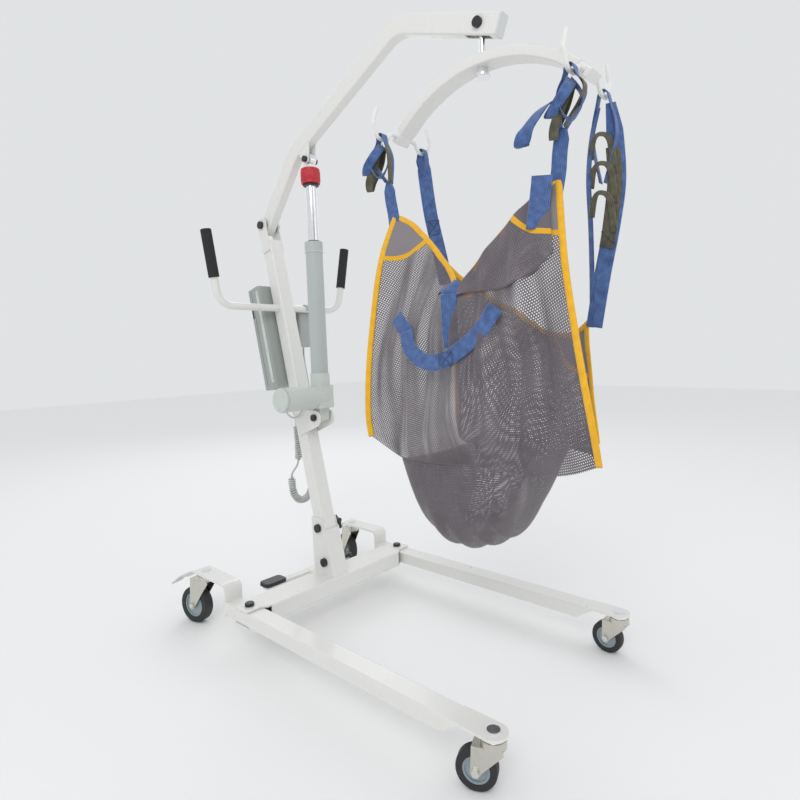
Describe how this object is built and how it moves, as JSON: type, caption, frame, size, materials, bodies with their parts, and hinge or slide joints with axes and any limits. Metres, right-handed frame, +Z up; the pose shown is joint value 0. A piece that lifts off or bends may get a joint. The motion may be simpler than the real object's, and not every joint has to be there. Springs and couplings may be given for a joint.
{
  "type": "patient lift hoist",
  "caption": "Mobile hoist with a cranked boom raised by an electric actuator, a spreader bar with hooks, a mesh sling, spreading legs and braked casters.",
  "frame": {"origin": "on the floor, under the middle of the hoist's length and width", "axes": "+Z up, -Y the way the legs and boom point, +X the hoist's left side seen from the push handles"},
  "size_m": [0.6446, 1.2395, 1.6056],
  "materials": {
    "painted_white": "gloss powder coat",
    "hook_white": "gloss powder coat",
    "cap_light": "moulded",
    "black_plastic": "moulded",
    "grip_black": "ribbed",
    "chrome": "polished",
    "fork_olive": "plated steel",
    "bolt_steel": "zinc plated",
    "brake_grey": "satin",
    "wheel_grey": "moulded",
    "tyre_black": "rubber",
    "actuator_grey": "moulded",
    "tube_grey": "satin",
    "collar_red": "knurled",
    "unit_grey": "moulded",
    "battery_black": "moulded",
    "stop_red": "moulded",
    "handset_grey": "moulded",
    "button_blue": "moulded",
    "mesh_mauve": "polyester mesh",
    "webbing_blue": "woven webbing",
    "cord_grey": "smooth sheath"
  },
  "bodies": {
    "root": {"base_crossbar": "painted_white", "leg_pivot_bolts": "black_plastic", "mast_socket": "painted_white", "mast": "painted_white", "mast_bolts": "black_plastic", "handlebar": "painted_white", "grips": "grip_black", "boom_pivot_bolt": "black_plastic", "actuator_bracket": "painted_white", "actuator_pin_bolt": "black_plastic", "control_unit": "unit_grey", "battery_pack": "battery_black", "handset": "handset_grey", "handset_cord": "cord_grey", "handset_coil": "cord_grey", "motor_cable": "cord_grey"},
    "leg_left": {"leg_left": "painted_white", "caster_stems_left": "chrome"},
    "leg_right": {"leg_right": "painted_white", "caster_stems_right": "chrome"},
    "pedal": {"pedal_rocker": "painted_white", "pedal_pads": "black_plastic"},
    "link_left": {"link_rod_left": "bolt_steel"},
    "link_right": {"link_rod_right": "bolt_steel"},
    "knob": {"mast_knob": "black_plastic"},
    "boom": {"boom": "painted_white", "boom_bracket": "painted_white", "boom_end_cap": "cap_light", "boom_pins": "black_plastic"},
    "hanger": {"hanger_eye": "chrome"},
    "spreader": {"spreader_bar": "painted_white", "spreader_boss": "cap_light", "spreader_hooks": "hook_white", "sling": "mesh_mauve", "sling_straps": "webbing_blue"},
    "actuator": {"actuator_housing": "actuator_grey", "actuator_tube": "tube_grey"},
    "rod": {"actuator_rod": "chrome"},
    "collar": {"release_collar": "collar_red"},
    "stop_button": {"stop_button": "stop_red"},
    "up_button": {"up_button": "button_blue"},
    "down_button": {"down_button": "button_blue"},
    "caster_front_right": {"fork_front_right": "fork_olive", "axle_front_right": "bolt_steel"},
    "wheel_front_right": {"tyre_front_right": "tyre_black", "wheel_core_front_right": "wheel_grey"},
    "caster_front_left": {"fork_front_left": "fork_olive", "axle_front_left": "bolt_steel"},
    "wheel_front_left": {"tyre_front_left": "tyre_black", "wheel_core_front_left": "wheel_grey"},
    "caster_rear_right": {"fork_rear_right": "fork_olive", "axle_rear_right": "bolt_steel"},
    "wheel_rear_right": {"tyre_rear_right": "tyre_black", "wheel_core_rear_right": "wheel_grey"},
    "brake_right": {"brake_pedal_right": "brake_grey"},
    "caster_rear_left": {"fork_rear_left": "fork_olive", "axle_rear_left": "bolt_steel"},
    "wheel_rear_left": {"tyre_rear_left": "tyre_black", "wheel_core_rear_left": "wheel_grey"},
    "brake_left": {"brake_pedal_left": "brake_grey"}
  },
  "joints": [
    {"name": "leg_spread_left", "type": "hinge", "parent": "root", "child": "leg_left", "pos_m": [0.276, 0.281, 0.088], "axis": [0, 0, 1], "range_deg": [0, 10]},
    {"name": "leg_spread_right", "type": "hinge", "parent": "root", "child": "leg_right", "pos_m": [-0.276, 0.281, 0.088], "axis": [0, 0, 1], "range_deg": [-10, 0]},
    {"name": "pedal_rock", "type": "hinge", "parent": "root", "child": "pedal", "pos_m": [0, 0.393, 0.088], "axis": [0, 1, 0], "range_deg": [0, 17.1]},
    {"name": "link_slide_left", "type": "slide", "parent": "root", "child": "link_left", "axis": [1, 0, 0], "range_m": [-0.003, 0]},
    {"name": "link_slide_right", "type": "slide", "parent": "root", "child": "link_right", "axis": [1, 0, 0], "range_m": [0, 0.003]},
    {"name": "swivel_front_right", "type": "hinge", "parent": "leg_right", "child": "caster_front_right", "pos_m": [-0.276, -0.469, 0.09], "axis": [0, 0, 1], "continuous": true},
    {"name": "spin_front_right", "type": "hinge", "parent": "caster_front_right", "child": "wheel_front_right", "pos_m": [-0.28772, -0.44139, 0.0375], "axis": [0.9205, 0.3907, 0], "continuous": true},
    {"name": "swivel_front_left", "type": "hinge", "parent": "leg_left", "child": "caster_front_left", "pos_m": [0.276, -0.469, 0.09], "axis": [0, 0, 1], "continuous": true},
    {"name": "spin_front_left", "type": "hinge", "parent": "caster_front_left", "child": "wheel_front_left", "pos_m": [0.27652, -0.439, 0.0375], "axis": [0.9998, -0.0175, 0], "continuous": true},
    {"name": "swivel_rear_right", "type": "hinge", "parent": "leg_right", "child": "caster_rear_right", "pos_m": [-0.276, 0.499, 0.12], "axis": [0, 0, 1], "continuous": true},
    {"name": "spin_rear_right", "type": "hinge", "parent": "caster_rear_right", "child": "wheel_rear_right", "pos_m": [-0.28543, 0.53684, 0.05], "axis": [0.9703, 0.2419, 0], "continuous": true},
    {"name": "brake_right", "type": "hinge", "parent": "caster_rear_right", "child": "brake_right", "pos_m": [-0.2881, 0.54751, 0.1296], "axis": [-0.9703, -0.2419, 0], "range_deg": [0, 10], "stiffness_Nm_per_rad": 2, "springref_deg": -20.05},
    {"name": "swivel_rear_left", "type": "hinge", "parent": "leg_left", "child": "caster_rear_left", "pos_m": [0.276, 0.499, 0.12], "axis": [0, 0, 1], "continuous": true},
    {"name": "spin_rear_left", "type": "hinge", "parent": "caster_rear_left", "child": "wheel_rear_left", "pos_m": [0.28543, 0.53684, 0.05], "axis": [0.9703, -0.2419, 0], "continuous": true},
    {"name": "brake_left", "type": "hinge", "parent": "caster_rear_left", "child": "brake_left", "pos_m": [0.2881, 0.54751, 0.1296], "axis": [-0.9703, 0.2419, 0], "range_deg": [0, 10], "stiffness_Nm_per_rad": 2, "springref_deg": -20.05},
    {"name": "knob_turn", "type": "hinge", "parent": "root", "child": "knob", "pos_m": [0.035, 0.30646, 0.2423], "axis": [1, 0, 0], "continuous": true},
    {"name": "boom_lift", "type": "hinge", "parent": "root", "child": "boom", "pos_m": [0, 0.557, 1.17], "axis": [-1, 0, 0], "range_deg": [-16, 16]},
    {"name": "hanger_swing", "type": "hinge", "parent": "boom", "child": "hanger", "pos_m": [0, -0.29024, 1.49091], "axis": [-1, 0, 0], "range_deg": [-16.2, 16.2]},
    {"name": "spreader_turn", "type": "hinge", "parent": "hanger", "child": "spreader", "pos_m": [0, -0.29024, 1.40591], "axis": [0, 0, 1], "continuous": true},
    {"name": "actuator_tilt", "type": "hinge", "parent": "root", "child": "actuator", "pos_m": [0, 0.311, 0.567], "axis": [-1, 0, 0], "range_deg": [-3.3, 3.3]},
    {"name": "rod_slide", "type": "slide", "parent": "actuator", "child": "rod", "axis": [0, 0.0346, 0.9994], "range_m": [-0.063, 0.063]},
    {"name": "collar_twist", "type": "hinge", "parent": "rod", "child": "collar", "pos_m": [0, 0.33606, 1.29057], "axis": [0, 0.0346, 0.9994], "range_deg": [0, 60]},
    {"name": "stop_press", "type": "slide", "parent": "root", "child": "stop_button", "axis": [0, -0.9654, 0.2607], "range_m": [0, 0.003], "stiffness_N_per_m": 2000},
    {"name": "up_press", "type": "slide", "parent": "root", "child": "up_button", "axis": [0, -1, 0], "range_m": [0, 0.0015], "stiffness_N_per_m": 1500},
    {"name": "down_press", "type": "slide", "parent": "root", "child": "down_button", "axis": [0, -1, 0], "range_m": [0, 0.0015], "stiffness_N_per_m": 1500}
  ],
  "couplings": [
    {"joint": "leg_spread_right", "follows": "leg_spread_left", "ratio": -1},
    {"joint": "pedal_rock", "follows": "leg_spread_left", "ratio": 1.7},
    {"joint": "link_slide_left", "follows": "leg_spread_left", "m_per_rad": -0.017},
    {"joint": "link_slide_right", "follows": "leg_spread_left", "m_per_rad": 0.017},
    {"joint": "hanger_swing", "follows": "boom_lift", "ratio": -1},
    {"joint": "actuator_tilt", "follows": "boom_lift", "ratio": 0.1994},
    {"joint": "rod_slide", "follows": "boom_lift", "m_per_rad": 0.2235}
  ]
}
